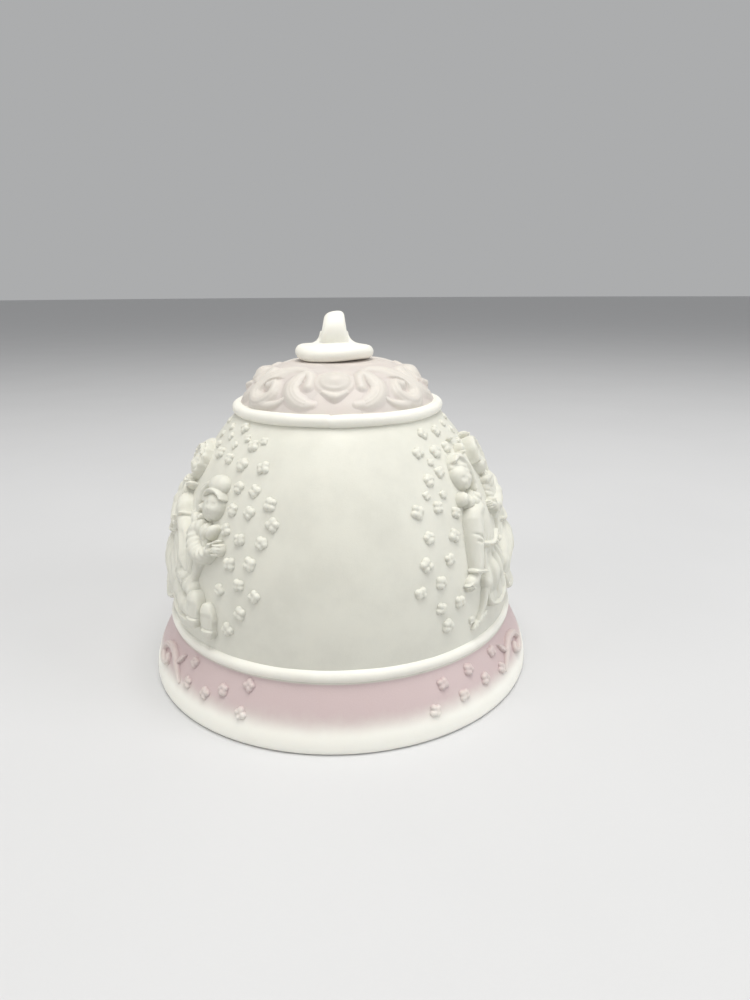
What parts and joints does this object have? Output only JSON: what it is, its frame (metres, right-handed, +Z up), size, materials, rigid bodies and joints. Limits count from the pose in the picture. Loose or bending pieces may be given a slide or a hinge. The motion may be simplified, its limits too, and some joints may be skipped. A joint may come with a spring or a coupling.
{
  "type": "porcelain hand bell",
  "caption": "Small bisque porcelain keepsake bell with a flared foot, relief panels of children among blossoms, a crown loop and a hanging ball clapper.",
  "frame": {"origin": "centre of the foot ring, in the plane that the bell stands on", "axes": "+Z up through the crown loop, -Y is the plain front panel, -X and +X are the two relief panels"},
  "size_m": [0.09, 0.09, 0.081],
  "materials": {
    "bisque_white": "matte",
    "bisque_cream": "matte",
    "bisque_lilac": "matte",
    "setting_cement": "matte",
    "brass_wire": "satin"
  },
  "bodies": {
    "bell": {"bell_shell": "bisque_white", "left_child_head": "bisque_white", "left_child_cap": "bisque_white", "left_child_hand": "bisque_white", "left_child_sleeve": "bisque_white", "left_child_shoe_near": "bisque_white", "left_child_shoe_far": "bisque_white", "left_child_dress": "bisque_white", "left_friend_head": "bisque_white", "left_friend_bonnet": "bisque_white", "left_friend_arm": "bisque_white", "left_friend_dress": "bisque_white", "left_leaves": "bisque_white", "right_child_hand": "bisque_white", "right_child_arm": "bisque_white", "right_child_head": "bisque_white", "right_child_dress": "bisque_white", "right_friend_head": "bisque_white", "right_friend_hair": "bisque_white", "right_friend_arm": "bisque_white", "right_friend_dress": "bisque_white", "right_friend_shoe": "bisque_white", "right_leaves": "bisque_white", "waist_bead": "bisque_cream", "upper_bead": "bisque_cream", "crown_finial": "bisque_cream", "dome_rosette_1": "bisque_lilac", "dome_rosette_2": "bisque_lilac", "dome_rosette_3": "bisque_lilac", "dome_rosette_4": "bisque_lilac", "dome_scroll_1": "bisque_lilac", "dome_scroll_2": "bisque_lilac", "dome_scroll_3": "bisque_lilac", "dome_scroll_4": "bisque_lilac", "dome_scroll_5": "bisque_lilac", "dome_scroll_6": "bisque_lilac", "dome_scroll_7": "bisque_lilac", "dome_scroll_8": "bisque_lilac", "band_scroll_1": "bisque_lilac", "band_scroll_2": "bisque_lilac", "band_scroll_3": "bisque_lilac", "band_scroll_4": "bisque_lilac", "cement_plug": "setting_cement", "clapper_staple": "brass_wire"},
    "clapper_link": {"clapper_link": "brass_wire"},
    "clapper": {"clapper_shank": "brass_wire", "clapper_ball": "bisque_white", "clapper_ferrule": "brass_wire"}
  },
  "joints": [
    {"name": "link_swing", "type": "hinge", "parent": "bell", "child": "clapper_link", "pos_m": [0, 0, 0.0606], "axis": [1, 0, 0], "range_deg": [-43, 43]},
    {"name": "clapper_swing", "type": "hinge", "parent": "clapper_link", "child": "clapper", "pos_m": [0, 0, 0.0519], "axis": [0, 1, 0], "range_deg": [-24, 24]}
  ]
}
